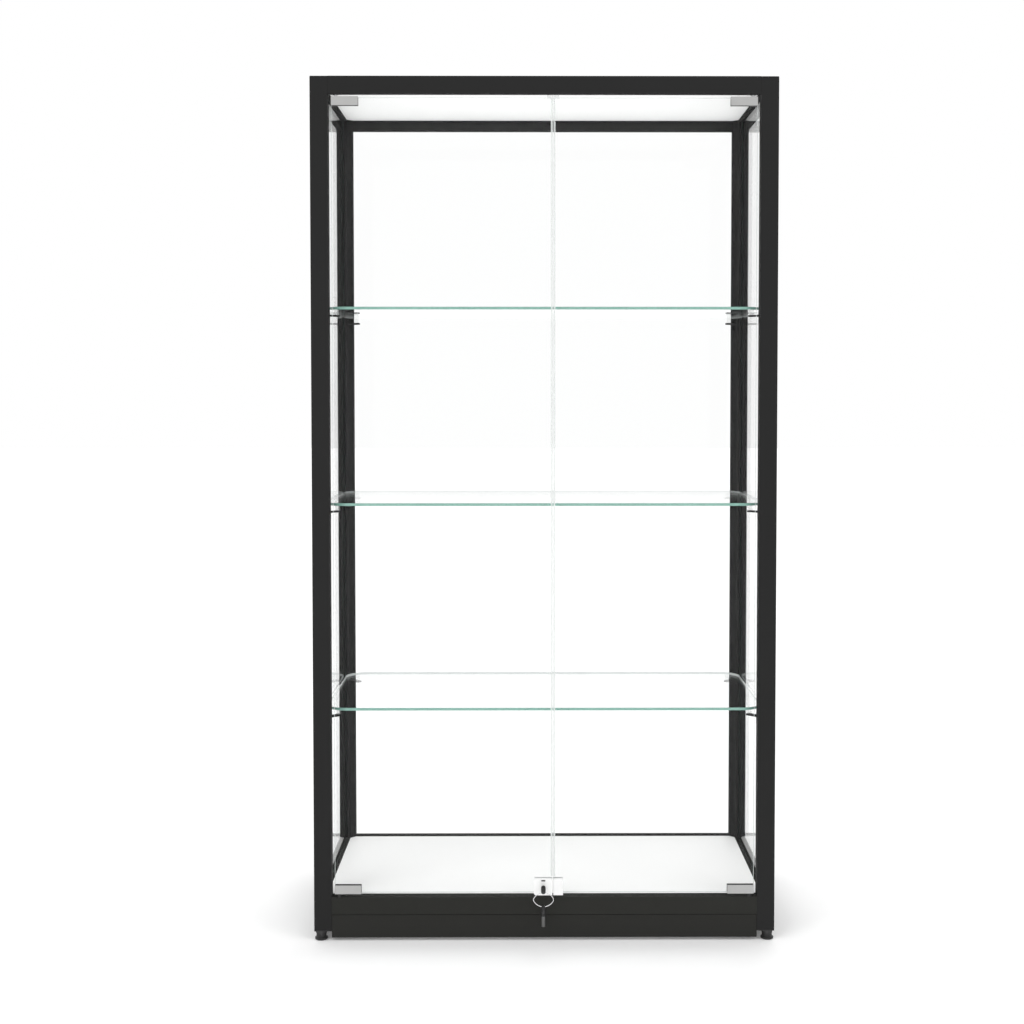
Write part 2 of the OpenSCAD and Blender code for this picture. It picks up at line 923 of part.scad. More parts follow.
// Moves a key, drawn with its shank along +Z, to hang below the ring.
module at_spare() {
    from_front()
        translate([key_x, bow_y, spare_bow_z])
            rotate([180, 0, 0])
                children();
}

module key_head() {
    color([0.08, 0.08, 0.08]) at_lock() key_bow(eye_in, 0);
}

module key_shank() {
    color([0.7, 0.7, 0.71]) at_lock() shank(bow_r - 2, lock_front_y + 6.5 - bow_y);
}

module spare_key_head() {
    color([0.08, 0.08, 0.08]) at_spare() key_bow(0, -eye_in);
}

module spare_key_shank() {
    color([0.62, 0.62, 0.63]) at_spare() shank(bow_r - 2, hub_l + shank_l);
}

// Right half of the ring's centre line, from its top to just before its bottom, as
// points in X and Z: a wide arc above and below that meet in a tight one at the side.
function ring_half(a, b, tight) =
    let(
        dx = a - tight,
        dz = (dx * dx - (b - tight) * (b - tight)) / (2 * (b - tight)),
        lean = atan2(dx, dz),
        wide = b + dz
    )
    concat(
        [for (i = [0:1:7]) let(t = 90 - lean * i / 8) [wide * cos(t), wide * sin(t) - dz]],
        [for (i = [0:1:6]) let(t = (90 - lean) * (1 - i / 3))
            [dx + tight * cos(t), tight * sin(t)]],
        [for (i = [7:-1:1]) let(t = lean * i / 8 - 90) [wide * cos(t), wide * sin(t) + dz]]
    );

// Wire of the key ring: a section with wire_sides corners at each point.
module key_ring() {
    path = [
        for (side = [0, 1])
            each ring_half(ring_w / 2 - wire_r, ring_h / 2 - wire_r, ring_tight[side])
                * (1 - 2 * side)
    ];
    count = len(path);
    corners = [
        for (i = [0:1:count - 1])
            let(
                along = path[(i + 1) % count] - path[(i + count - 1) % count],
                out = [along[1], -along[0]] / norm(along)
            )
            for (k = [0:1:wire_sides - 1])
                let(t = 360 * k / wire_sides)
                [
                    path[i][0] + wire_r * cos(t) * out[0],
                    wire_r * sin(t),
                    path[i][1] + wire_r * cos(t) * out[1]
                ]
    ];
    faces = [
        for (i = [0:1:count - 1], k = [0:1:wire_sides - 1])
            let(
                here = i * wire_sides,
                next = ((i + 1) % count) * wire_sides,
                side = (k + 1) % wire_sides
            )
            [here + k, here + side, next + side, next + k]
    ];
    color([0.75, 0.75, 0.76]) from_front()
        translate([key_x, bow_y, (ring_top_z + ring_low_z) / 2])
            polyhedron(corners, faces);
}

// ---- Feet ----

// Insert in the lower end of a post: a flange, a plug with a threaded bore, and a
// tapered collar below.
module foot_inserts() {
    collar_h = post_z - shoulder_z - 0.2;
    color([0.12, 0.12, 0.12]) at_corners()
        difference() {
            union() {
                translate([0, 0, post_z]) linear_extrude(wall) post_outline();
                core_plug(post_z + wall - eps, post_z + 24);
                translate([core_mid, core_mid, post_z - collar_h])
                    cylinder(r1 = neck_r, r2 = core_mid - 0.3, h = collar_h + eps);
            }
            translate([core_mid, core_mid, 0]) cylinder(r = stud_r + 0.08, h = 60);
        }
}

// Levelling foot: a round pad with bevelled edges, a neck and a stud.
module foot(side, end) {
    color([0.1, 0.1, 0.1]) at_corner(side, end) translate([core_mid, core_mid, 0]) {
        rotate_extrude()
            polygon([
                [0, 0], [foot_r - 2.5, 0], [foot_r, 2], [foot_r, 5],
                [neck_r, 7], [neck_r, shoulder_z], [0, shoulder_z]
            ]);
        translate([0, 0, shoulder_z - eps]) cylinder(r = stud_r, h = stud_l);
    }
}

module foot_front_left() { foot(-1, 0); }
module foot_front_right() { foot(1, 0); }
module foot_rear_left() { foot(-1, 1); }
module foot_rear_right() { foot(1, 1); }

post_front_left();
post_front_right();
post_rear_left();
post_rear_right();
post_caps();
top_rail_front();
top_rail_rear();
top_rail_left();
top_rail_right();
bottom_rail_front();
bottom_rail_rear();
bottom_rail_left();
bottom_rail_right();
corner_connectors();
kick_board_front();
kick_board_rear();
kick_board_left();
kick_board_right();
deck_panel();
ceiling_panel();
side_glass_left();
side_glass_right();
back_glass();
glazing_gaskets();
shelf_upper();
shelf_middle();
shelf_lower();
shelf_brackets();
bracket_pads();
door_glass_left();
door_glass_right();
hinge_clamp_left_top();
hinge_clamp_left_bottom();
hinge_clamp_right_top();
hinge_clamp_right_bottom();
clamp_pads_left();
clamp_pads_right();
grub_screws_left();
grub_screws_right();
pivot_pins_left();
pivot_pins_right();
pivot_bushes();
door_seal_left();
door_seal_right();
door_stop();
lock_body();
lock_plug();
lock_bolt();
strike_plate();
key_head();
key_shank();
key_ring();
spare_key_head();
spare_key_shank();
foot_inserts();
foot_front_left();
foot_front_right();
foot_rear_left();
foot_rear_right();
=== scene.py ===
"""Looks of a tall glass display case: its finishes, its glass and its small hardware."""

import logging
import math
from dataclasses import dataclass
from enum import Enum

import bmesh
import bpy
from mathutils import Matrix, Vector


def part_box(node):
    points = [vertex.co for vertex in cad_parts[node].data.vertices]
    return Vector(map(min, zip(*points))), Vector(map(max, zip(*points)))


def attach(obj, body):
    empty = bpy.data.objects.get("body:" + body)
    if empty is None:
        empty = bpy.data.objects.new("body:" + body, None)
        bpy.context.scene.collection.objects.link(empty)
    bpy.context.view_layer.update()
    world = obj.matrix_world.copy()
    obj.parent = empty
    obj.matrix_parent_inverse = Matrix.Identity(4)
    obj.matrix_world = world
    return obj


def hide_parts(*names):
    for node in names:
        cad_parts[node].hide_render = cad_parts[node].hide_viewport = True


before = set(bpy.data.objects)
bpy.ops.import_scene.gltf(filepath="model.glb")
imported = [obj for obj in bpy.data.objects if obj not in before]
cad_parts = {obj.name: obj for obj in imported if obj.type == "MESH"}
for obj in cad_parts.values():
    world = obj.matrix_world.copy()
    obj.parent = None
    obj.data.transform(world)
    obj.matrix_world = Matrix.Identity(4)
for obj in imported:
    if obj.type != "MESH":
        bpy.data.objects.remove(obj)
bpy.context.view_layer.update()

log = logging.getLogger("display_case")

Colour = tuple[float, float, float]
Point2 = tuple[float, float]

MM = 0.001
WHITE: Colour = (1.0, 1.0, 1.0)
BLACK: Colour = (0.0, 0.0, 0.0)

# Width of the flat ground on a pane's sharp edges.
ARRIS = 0.5 * MM
# Faces that meet more flatly than this look like one round surface.
SMOOTH_BELOW = math.radians(32)
# Edges that turn more sharply than this are rounded off.
ROUND_ABOVE = math.radians(40)
# Lengths below this count as nothing.
TINY = 1e-6


# ---- Shader graphs ----


class Value:
    """One output of a shader graph that takes part in Python arithmetic."""

    def __init__(self, graph: "Graph", socket: bpy.types.NodeSocket) -> None:
        """Wraps a socket of a graph.

        Args:
            graph: The graph that the socket belongs to.
            socket: An output socket.
        """
        self.graph = graph
        self.socket = socket

    def _math(self, operation: str, first: "Number", second: "Number") -> "Value":
        """Adds a Math node and returns its result."""
        node = self.graph.node("ShaderNodeMath", {"operation": operation}, {0: first, 1: second})
        return Value(self.graph, node.outputs[0])

    def __add__(self, other: "Number") -> "Value":
        """Sum."""
        return self._math("ADD", self, other)

    def __radd__(self, other: "Number") -> "Value":
        """Sum with a number on the left."""
        return self._math("ADD", other, self)

    def __sub__(self, other: "Number") -> "Value":
        """Difference."""
        return self._math("SUBTRACT", self, other)

    def __rsub__(self, other: "Number") -> "Value":
        """Difference from a number."""
        return self._math("SUBTRACT", other, self)

    def __mul__(self, other: "Number") -> "Value":
        """Product."""
        return self._math("MULTIPLY", self, other)

    def __rmul__(self, other: "Number") -> "Value":
        """Product with a number on the left."""
        return self._math("MULTIPLY", other, self)

    def __abs__(self) -> "Value":
        """Absolute value."""
        return self._math("ABSOLUTE", self, 0.0)

    def above(self, limit: "Number") -> "Value":
        """Gives 1 where the value is above a limit and 0 elsewhere."""
        return self._math("GREATER_THAN", self, limit)


Number = float | Value
Link = float | tuple[float, ...] | Value | bpy.types.NodeSocket


class Graph:
    """Node tree of a material or of the world, built by plain calls."""

    def __init__(self, tree: bpy.types.NodeTree) -> None:
        """Empties a node tree and takes it over.

        Args:
            tree: The node tree to build in.
        """
        self.tree = tree
        tree.nodes.clear()

    def node(
        self,
        kind: str,
        settings: dict[str, object] | None = None,
        inputs: dict[str | int, Link] | None = None,
    ) -> bpy.types.Node:
        """Adds one node.

        Args:
            kind: The node's type, such as ShaderNodeTexNoise.
            settings: Its properties, set first. The key stops holds a ramp's stops.
            inputs: The value or link of each input, by name or index.

        Returns:
            The new node.
        """
        made = self.tree.nodes.new(kind)
        for name, value in (settings or {}).items():
            if name == "stops":
                self._set_stops(made.color_ramp, value)
            else:
                setattr(made, name, value)
        for key, value in (inputs or {}).items():
            socket = made.inputs[key]
            if isinstance(value, Value):
                self.tree.links.new(value.socket, socket)
            elif isinstance(value, bpy.types.NodeSocket):
                self.tree.links.new(value, socket)
            elif isinstance(value, tuple) and socket.type == "RGBA":
                socket.default_value = (*value[:3], 1.0)
            else:
                socket.default_value = value
        return made

    @staticmethod
    def _set_stops(ramp: bpy.types.ColorRamp, stops: list[tuple[float, float]]) -> None:
        """Gives a ramp its grey stops as pairs of place and level."""
        while len(ramp.elements) < len(stops):
            ramp.elements.new(0.5)
        for element, (place, level) in zip(ramp.elements, stops):
            element.position = place
            element.color = (level, level, level, 1.0)

    def noise(self, scale: float, detail: float = 3.0, stretch: Colour = WHITE) -> Value:
        """Noise in the part's own space.

        Args:
            scale: Features per metre.
            detail: Octaves of finer noise.
            stretch: Factor on the scale along X, Y and Z.

        Returns:
            The noise's level, from 0 to 1 around 0.5.
        """
        place = self.node("ShaderNodeTexCoord").outputs["Object"]
        moved = self.node("ShaderNodeMapping", {}, {"Vector": place, "Scale": stretch})
        made = self.node(
            "ShaderNodeTexNoise",
            {},
            {"Vector": moved.outputs[0], "Scale": scale, "Detail": detail},
        )
        return Value(self, made.outputs[0])

    def ramp(self, value: Value, stops: list[tuple[float, float]]) -> Value:
        """Runs a value through a grey ramp of place and level pairs."""
        made = self.node("ShaderNodeValToRGB", {"stops": stops}, {0: value})
        return Value(self, made.outputs[0])

    def blend(self, share: Number, first: Link, second: Link) -> Value:
        """Mixes two colours by a share of the second."""
        made = self.node(
            "ShaderNodeMix", {"data_type": "RGBA"}, {0: share, 6: first, 7: second}
        )
        return Value(self, made.outputs[2])

    def bump(self, height: Value, distance: float, strength: float = 1.0) -> Value:
        """Normal of a surface with the given height over the given distance in metres."""
        made = self.node(
            "ShaderNodeBump",
            {},
            {"Height": height, "Distance": distance, "Strength": strength},
        )
        return Value(self, made.outputs[0])

    def principled(self, inputs: dict[str | int, Link]) -> Value:
        """Adds the main surface shader and returns its output."""
        return Value(self, self.node("ShaderNodeBsdfPrincipled", {}, inputs).outputs[0])

    def mix_shaders(self, share: Number, first: Value, second: Value) -> Value:
        """Mixes two shaders by a share of the second."""
        made = self.node("ShaderNodeMixShader", {}, {0: share, 1: first, 2: second})
        return Value(self, made.outputs[0])

    def seen(self) -> Value:
        """Gives 1 to what the camera sees, also in gloss and through glass, and 0 to light."""
        path = self.node("ShaderNodeLightPath")
        kinds = [
            Value(self, path.outputs[f"Is {kind} Ray"])
            for kind in ("Camera", "Glossy", "Transmission")
        ]
        return sum(kinds[1:], kinds[0]).above(0.5)

    def surface(self, shader: Value) -> None:
        """Ends the graph of a material in this shader."""
        self.node("ShaderNodeOutputMaterial", {}, {"Surface": shader})


def new_graph(name: str) -> tuple[bpy.types.Material, Graph]:
    """Starts a material.

    Args:
        name: The material's name.

    Returns:
        The material and its empty graph.
    """
    material = bpy.data.materials.new(name)
    material.use_nodes = True
    return material, Graph(material.node_tree)


# ---- Finishes ----


@dataclass(frozen=True)
class PowderCoat:
    """Satin powder coat on aluminium: a fine orange peel and a slightly uneven gloss."""

    name: str
    tone: float
    cast: Colour = WHITE
    roughness: float = 0.6
    gloss: float = 0.05

    def material(self) -> bpy.types.Material:
        """Builds the coat."""
        material, graph = new_graph(self.name)
        cloud = graph.noise(3.0, 4.0)
        peel = graph.noise(350.0, 1.0)
        dust = graph.ramp(graph.noise(60.0, 6.0), [(0.55, 0.0), (0.8, 1.0)])
        dark = tuple(self.tone * 0.9 * c for c in self.cast)
        light = tuple(self.tone * 1.12 * c for c in self.cast)
        graph.surface(
            graph.principled(
                {
                    "Base Color": graph.blend(cloud, dark, light),
                    "Roughness": self.roughness + 0.08 * cloud + 0.06 * dust,
                    "Specular IOR Level": self.gloss,
                    "Normal": graph.bump(peel, 0.015 * MM, 0.5),
                }
            )
        )
        return material


@dataclass(frozen=True)
class Moulding:
    """Moulded plastic or rubber with a faint spark-eroded texture."""

    name: str
    colour: Colour
    roughness: float
    grain: float = 0.03 * MM

    def material(self) -> bpy.types.Material:
        """Builds the moulding's surface."""
        material, graph = new_graph(self.name)
        texture = graph.noise(1800.0, 2.0)
        cloud = graph.noise(25.0, 3.0)
        light = tuple(c * 1.25 + 0.002 for c in self.colour)
        graph.surface(
            graph.principled(
                {
                    "Base Color": graph.blend(cloud, self.colour, light),
                    "Roughness": self.roughness + 0.1 * cloud,
                    "Specular IOR Level": 0.4,
                    "Normal": graph.bump(texture, self.grain),
                }
            )
        )
        return material


@dataclass(frozen=True)
class GripLining:
    """Lining between metal and glass: black rubber at the hinges, clear at the lock."""

    name: str
    rubber: Colour
    clear: Colour
    hinge_x: float

    def material(self) -> bpy.types.Material:
        """Builds the lining, told apart by how far it is from the middle of the case."""
        material, graph = new_graph(self.name)
        place = graph.node("ShaderNodeTexCoord").outputs["Object"]
        along = graph.node("ShaderNodeSeparateXYZ", {}, {"Vector": place}).outputs["X"]
        at_hinge = abs(Value(graph, along)).above(self.hinge_x)
        texture = graph.noise(1500.0, 2.0)
        graph.surface(
            graph.principled(
                {
                    "Base Color": graph.blend(at_hinge, self.clear, self.rubber),
                    "Roughness": 0.6 + 0.2 * texture,
                    "Specular IOR Level": 0.3,
                    "Normal": graph.bump(texture, 0.02 * MM),
                }
            )
        )
        return material


@dataclass(frozen=True)
class FacedBoard:
    """Melamine faced board with a pearl texture."""

    name: str
    colour: Colour
    roughness: float = 0.5
    gloss: float = 0.35

    def material(self) -> bpy.types.Material:
        """Builds the facing."""
        material, graph = new_graph(self.name)
        pearl = graph.noise(450.0, 4.0)
        cloud = graph.noise(4.0, 3.0)
        shade = tuple(c * 0.975 for c in self.colour)
        graph.surface(
            graph.principled(
                {
                    "Base Color": graph.blend(cloud, shade, self.colour),
                    "Roughness": self.roughness + 0.08 * pearl,
                    "Specular IOR Level": self.gloss,
                    "Normal": graph.bump(pearl, 0.03 * MM),
                }
            )
        )
        return material


@dataclass(frozen=True)
class Metal:
    """Bare or plated metal with fine drawn lines along one axis."""

    name: str
    colour: Colour
    roughness: float
    lines: Colour
    depth: float = 0.01 * MM
    metallic: float = 1.0

    def material(self) -> bpy.types.Material:
        """Builds the metal."""
        material, graph = new_graph(self.name)
        drawn = graph.noise(700.0, 4.0, self.lines)
        cloud = graph.noise(40.0, 3.0)
        light = tuple(min(1.0, c * 1.08) for c in self.colour)
        graph.surface(
            graph.principled(
                {
                    "Base Color": graph.blend(cloud, self.colour, light),
                    "Metallic": self.metallic,
                    "Roughness": self.roughness + 0.1 * drawn,
                    "Normal": graph.bump(drawn, self.depth),
                }
            )
        )
        return material


@dataclass(frozen=True)
class ClearGlass:
    """Face of a clear pane, with lamps let through to what is behind it.

    The glass hardly bends what is seen through it. A thin coat on top gives the sheen.
    """

    name: str
    tint: Colour
    glance_shade: float = 1.0
    smear: float = 0.004
    ior: float = 1.002
    sheen_ior: float = 1.17

    def material(self) -> bpy.types.Material:
        """Builds the pane's face, whose colour is painted darker to a glancing look: painted
        shade for the grey of a pane seen edge-on.
        """
        material, graph = new_graph(self.name)
        smears = graph.ramp(graph.noise(9.0, 5.0, (1.0, 1.0, 0.4)), [(0.5, 0.0), (0.8, 1.0)])
        facing = graph.node("ShaderNodeLayerWeight", {}, {"Blend": 0.5}).outputs["Facing"]
        glance = graph.ramp(Value(graph, facing), [(0.72, 0.0), (0.9, 1.0)])
        # Painted shade: the tint turns darker towards a glancing look.
        deep = tuple(c * self.glance_shade for c in self.tint)
        pane = graph.principled(
            {
                "Base Color": graph.blend(glance, self.tint, deep),
                "Roughness": self.smear * smears,
                "IOR": self.ior,
                "Transmission Weight": 1.0,
                "Coat Weight": 1.0,
                "Coat Roughness": 0.0,
                "Coat IOR": self.sheen_ior,
            }
        )
        path = graph.node("ShaderNodeLightPath")
        clear = graph.node("ShaderNodeBsdfTransparent", {}, {"Color": self.tint})
        graph.surface(
            graph.mix_shaders(
                Value(graph, path.outputs["Is Shadow Ray"]),
                pane,
                Value(graph, clear.outputs[0]),
            )
        )
        return material


@dataclass(frozen=True)
class GlassEdge:
    """Ground and polished edge of a pane, green from the depth of glass behind it."""

    name: str
    deep: Colour
    pale: Colour

    def material(self) -> bpy.types.Material:
        """Builds the edge."""
        material, graph = new_graph(self.name)
        streaks = graph.noise(14.0, 5.0, (1.0, 1.0, 3.0))
        grind = graph.noise(1500.0, 2.0)
        graph.surface(
            graph.principled(
                {
                    "Base Color": graph.blend(streaks, self.deep, self.pale),
                    "Roughness": 0.12 + 0.1 * grind,
                    "Specular IOR Level": 0.5,
                    "Coat Weight": 0.3,
                    "Normal": graph.bump(grind, 0.01 * MM),
                }
            )
        )
        return material


@dataclass(frozen=True)
class ClearPlastic:
    """Milky clear plastic of seals, stops and pads."""

    name: str
    tint: Colour
    clearness: float

    def material(self) -> bpy.types.Material:
        """Builds the plastic."""
        material, graph = new_graph(self.name)
        cloud = graph.noise(30.0, 3.0)
        body = graph.principled(
            {
                "Base Color": self.tint,
                "Roughness": 0.25 + 0.15 * cloud,
                "Specular IOR Level": 0.5,
            }
        )
        clear = graph.node("ShaderNodeBsdfTransparent", {}, {"Color": WHITE})
        graph.surface(
            graph.mix_shaders(self.clearness, body, Value(graph, clear.outputs[0]))
        )
        return material


class Finish(Enum):
    """Finishes of the case. Each is made into a material once."""

    FRAME = PowderCoat("frame_coat", 0.019)
    # Painted light: a lighter, warmer copy of the frame coat, making up for the lesser light on
    # the bottom rails.
    BOTTOM_RAIL = PowderCoat("bottom_rail_coat_painted_light", 0.0235, (1.0, 1.01, 0.92))
    KICK = FacedBoard("kick_board_facing", (0.0238, 0.0238, 0.022), 0.6, 0.05)
    CAP = Moulding("black_moulding", (0.009, 0.009, 0.009), 0.45)
    RUBBER = Moulding("black_rubber", (0.005, 0.005, 0.005), 0.75)
    LINING = GripLining("grip_lining", (0.005, 0.005, 0.005), (0.86, 0.87, 0.87), 0.2)
    KEY_HEAD = Moulding("key_head_moulding", (0.006, 0.006, 0.006), 0.4)
    WHITE_BOARD = FacedBoard("white_facing", (0.93, 0.93, 0.925))
    CLAMP = Metal("clamp_satin", (0.415, 0.415, 0.41), 0.38, (0.05, 1.0, 1.0))
    LOCK = Metal("lock_satin", (0.85, 0.85, 0.845), 0.42, (0.05, 1.0, 1.0), metallic=0.35)
    STRIKE = Metal("strike_satin", (0.8, 0.8, 0.8), 0.42, (1.0, 1.0, 0.04), metallic=0.45)
    STEEL = Metal("turned_steel", (0.5, 0.5, 0.51), 0.28, (1.0, 0.06, 1.0))
    # Painted reflection: a darker copy of the turned steel for the spare key's shank, for the
    # dark surroundings it reflects.
    DULL_STEEL = Metal("steel_painted_dark_reflection", (0.135, 0.135, 0.133), 0.45, (1.0, 1.0, 0.06))
    WIRE = Metal("spring_wire", (0.75, 0.75, 0.76), 0.16, (1.0, 1.0, 1.0))
    ZINC = Metal("cast_zinc", (0.42, 0.42, 0.43), 0.5, (1.0, 1.0, 1.0), 0.03 * MM)
    # The side and back panes get painted shade towards a glancing look.
    PANE = ClearGlass("pane_face", (0.995, 0.998, 0.997), 0.86, 0.0)
    DOOR_PANE = ClearGlass("door_face", (0.997, 0.999, 0.998))
    SHELF = ClearGlass("shelf_face", (0.99, 0.996, 0.994))
    PANE_EDGE = GlassEdge("pane_edge", (0.22, 0.38, 0.33), (0.34, 0.52, 0.46))
    DOOR_EDGE = GlassEdge("door_edge", (0.6, 0.64, 0.625), (0.8, 0.84, 0.825))
    # Painted light: a paler copy of the shelf edge for its sides and back.
    SHELF_REAR = GlassEdge("shelf_edge_painted_light", (0.7, 0.75, 0.74), (0.84, 0.88, 0.87))
    SHELF_EDGE = GlassEdge("shelf_edge", (0.155, 0.335, 0.28), (0.24, 0.43, 0.37))
    SEAL = ClearPlastic("seal_plastic", (0.8, 0.83, 0.82), 0.75)
    STOP = ClearPlastic("stop_plastic", (0.85, 0.87, 0.86), 0.8)

    def material(self) -> bpy.types.Material:
        """Returns the finish's material, built at its first use."""
        if self.value.name not in bpy.data.materials:
            self.value.material()
        return bpy.data.materials[self.value.name]


# ---- Mesh helpers ----


def new_piece(name: str, bm: bmesh.types.BMesh, finishes: list[Finish]) -> bpy.types.Object:
    """Turns a bmesh into an object with smooth rounds and sharp arrises.

    Args:
        name: The piece's name.
        bm: The mesh, which is freed.
        finishes: The finish of each material index.

    Returns:
        The new object.
    """
    bmesh.ops.recalc_face_normals(bm, faces=bm.faces)
    mesh = bpy.data.meshes.new(name)
    bm.to_mesh(mesh)
    bm.free()
    for finish in finishes:
        mesh.materials.append(finish.material())
    mesh.shade_smooth()
    mesh.set_sharp_from_angle(angle=SMOOTH_BELOW)
    piece = bpy.data.objects.new(name, mesh)
    bpy.context.scene.collection.objects.link(piece)
    return piece


def prism(outline: list[Point2], height: float) -> bmesh.types.BMesh:
    """Solid between an outline in the XY plane and its copy at a height.

    Args:
        outline: Corners of the outline, in order.
        height: The height of the far face.

    Returns:
        The closed solid.
    """
    bm = bmesh.new()
    base = bm.faces.new([bm.verts.new((x, y, 0.0)) for x, y in outline])
    grown = bmesh.ops.extrude_face_region(bm, geom=[base])
    far = [g for g in grown["geom"] if isinstance(g, bmesh.types.BMVert)]
    bmesh.ops.translate(bm, verts=far, vec=(0.0, 0.0, height))
    return bm


def rounded_rectangle(low: Point2, high: Point2, radius: float, steps: int) -> list[Point2]:
    """Outline of a rectangle with round corners.

    Args:
        low: The lowest corner.
        high: The highest corner.
        radius: The corners' radius.
        steps: Points in each corner, less one.

    Returns:
        The outline's points, anticlockwise.
    """
    centres = (
        (high[0] - radius, high[1] - radius),
        (low[0] + radius, high[1] - radius),
        (low[0] + radius, low[1] + radius),
        (high[0] - radius, low[1] + radius),
    )
    points = []
    for corner, (x, y) in enumerate(centres):
        for step in range(steps + 1):
            turn = math.radians(90 * corner + 90 * step / steps)
            points.append((x + radius * math.cos(turn), y + radius * math.sin(turn)))
    return points


def glass_slab(
    name: str,
    outline: list[Point2],
    thickness: float,
    place: Matrix,
    faces: Finish,
    edges: Finish,
) -> bpy.types.Object:
    """Pane of glass with clear faces, arrised edges and a finish for each.

    Args:
        name: The piece's name.
        outline: The pane's outline in its own XY plane.
        thickness: The pane's thickness along its own Z.
        place: Moves the pane from its own space to the part's.
        faces: Finish of the two faces.
        edges: Finish of the edges and their arrises.

    Returns:
        The pane.
    """
    bm = prism(outline, thickness)
    rims = [e for e in bm.edges if abs(e.verts[0].co.z - e.verts[1].co.z) < TINY]
    bmesh.ops.bevel(bm, geom=rims, offset=ARRIS, segments=1, affect="EDGES")
    for face in bm.faces:
        face.normal_update()
        face.material_index = 0 if abs(face.normal.z) > 0.99 else 1
    bmesh.ops.transform(bm, matrix=place, verts=bm.verts)
    return new_piece(name, bm, [faces, edges])


def dress(node: str, finish: Finish, edge: float = 0.0) -> None:
    """Gives a solid of the frame its finish, and its edges a small visible round.

    Args:
        node: The solid's name.
        finish: Its finish.
        edge: Width of the rounds, or 0 for none.
    """
    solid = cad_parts[node]
    if not solid.material_slots:
        solid.data.materials.append(None)
    for slot in solid.material_slots:
        slot.material = finish.material()
    if edge:
        weld = solid.modifiers.new("weld", "WELD")
        weld.merge_threshold = TINY
        bevel = solid.modifiers.new("rounds", "BEVEL")
        bevel.width = edge
        bevel.segments = 2
        bevel.limit_method = "ANGLE"
        bevel.angle_limit = ROUND_ABOVE
        bevel.harden_normals = True
    log.info("dressed %s", node)


# ---- Stage ----


@dataclass(frozen=True)
class Sun:
    """One soft lamp, shining from the side of a point on the foot of the case."""

    name: str
    source: tuple[float, float, float]
    strength: float


@dataclass
class Studio:
    """Camera, lamps, floor and surroundings."""

    eye: tuple[float, float, float] = (-0.03205, -3.634, 1.1917)
    pitch: float = 0.0402
    yaw: float = 0.00533
    focal_px: float = 1584.8
    centre_px: Point2 = (538.0, 455.9)
    frame_px: float = 1024.0
    sensor_mm: float = 36.0
    sun_width: float = math.radians(30)
    suns: tuple[Sun, ...] = (
        Sun("key", (-2.6, -3.4, 3.6), 0.6),
        Sun("fill", (3.4, -2.6, 2.2), 0.32),
        Sun("back", (0.6, 3.2, 3.6), 0.36),
        Sun("bounce", (0.0, -1.2, -3.4), 0.9),
    )
    sky: float = 0.95
    floor_size: float = 30.0
    floor_glow: float = 0.05
    glass_bounces: int = 32
    see_through_bounces: int = 48
    gloss_bounces: int = 8

    def build(self) -> None:
        """Makes the camera, the floor, the lamps and the world."""
        self._camera()
        self._floor()
        for sun in self.suns:
            self._lamp(sun)
        self._world()
        bpy.context.scene.view_settings.view_transform = "Standard"
        cycles = bpy.context.scene.cycles
        cycles.max_bounces = self.glass_bounces
        cycles.transmission_bounces = self.glass_bounces
        cycles.transparent_max_bounces = self.see_through_bounces
        cycles.glossy_bounces = self.gloss_bounces
        log.info("studio is set")

    def _camera(self) -> None:
        """Makes the camera."""
        data = bpy.data.cameras.new("camera")
        data.sensor_width = self.sensor_mm
        data.lens = self.focal_px * self.sensor_mm / self.frame_px
        data.shift_x = (self.frame_px / 2 - self.centre_px[0]) / self.frame_px
        data.shift_y = (self.centre_px[1] - self.frame_px / 2) / self.frame_px
        camera = bpy.data.objects.new("camera", data)
        camera.location = self.eye
        camera.rotation_euler = (math.pi / 2 - self.pitch, 0.0, -self.yaw)
        bpy.context.scene.collection.objects.link(camera)
        bpy.context.scene.camera = camera

    def _floor(self) -> None:
        """Makes the pale floor, which doesn't stand in the way of the lamp from below.

        That lamp stands in for the light that a bright floor throws up to the ceiling.
        """
        bm = bmesh.new()
        bmesh.ops.create_grid(bm, x_segments=1, y_segments=1, size=self.floor_size)
        material, graph = new_graph("floor")
        cloud = graph.noise(2.0, 2.0)
        graph.surface(
            graph.principled(
                {
                    "Base Color": graph.blend(cloud, (0.95, 0.95, 0.95), (0.96, 0.96, 0.96)),
                    "Roughness": 0.7,
                    "Specular IOR Level": 0.1,
                    "Emission Color": graph.blend(graph.seen(), BLACK, WHITE),
                    "Emission Strength": self.floor_glow,
                }
            )
        )
        mesh = bpy.data.meshes.new("floor")
        bm.to_mesh(mesh)
        bm.free()
        mesh.materials.append(material)
        floor = bpy.data.objects.new("floor", mesh)
        bpy.context.scene.collection.objects.link(floor)
        floor.visible_shadow = False

    def _lamp(self, sun: Sun) -> None:
        """Makes a lamp that glass doesn't show."""
        data = bpy.data.lights.new(sun.name, "SUN")
        data.angle = self.sun_width
        data.energy = sun.strength
        lamp = bpy.data.objects.new(sun.name, data)
        lamp.location = sun.source
        lamp.rotation_euler = (-Vector(sun.source)).to_track_quat("-Z", "Y").to_euler()
        lamp.visible_transmission = False
        bpy.context.scene.collection.objects.link(lamp)

    def _world(self) -> None:
        """Makes white surroundings that the camera, gloss and glass see."""
        world = bpy.data.worlds.new("studio")
        bpy.context.scene.world = world
        world.use_nodes = True
        world.cycles.sampling_method = "NONE"
        graph = Graph(world.node_tree)
        seen = graph.seen()
        plain = graph.node("ShaderNodeBackground", {}, {"Color": WHITE, "Strength": self.sky})
        white = graph.node("ShaderNodeBackground", {}, {"Color": WHITE, "Strength": 1.0})
        both = graph.mix_shaders(
            seen, Value(graph, plain.outputs[0]), Value(graph, white.outputs[0])
        )
        graph.node("ShaderNodeOutputWorld", {}, {"Surface": both})


# ---- Sub-assemblies ----


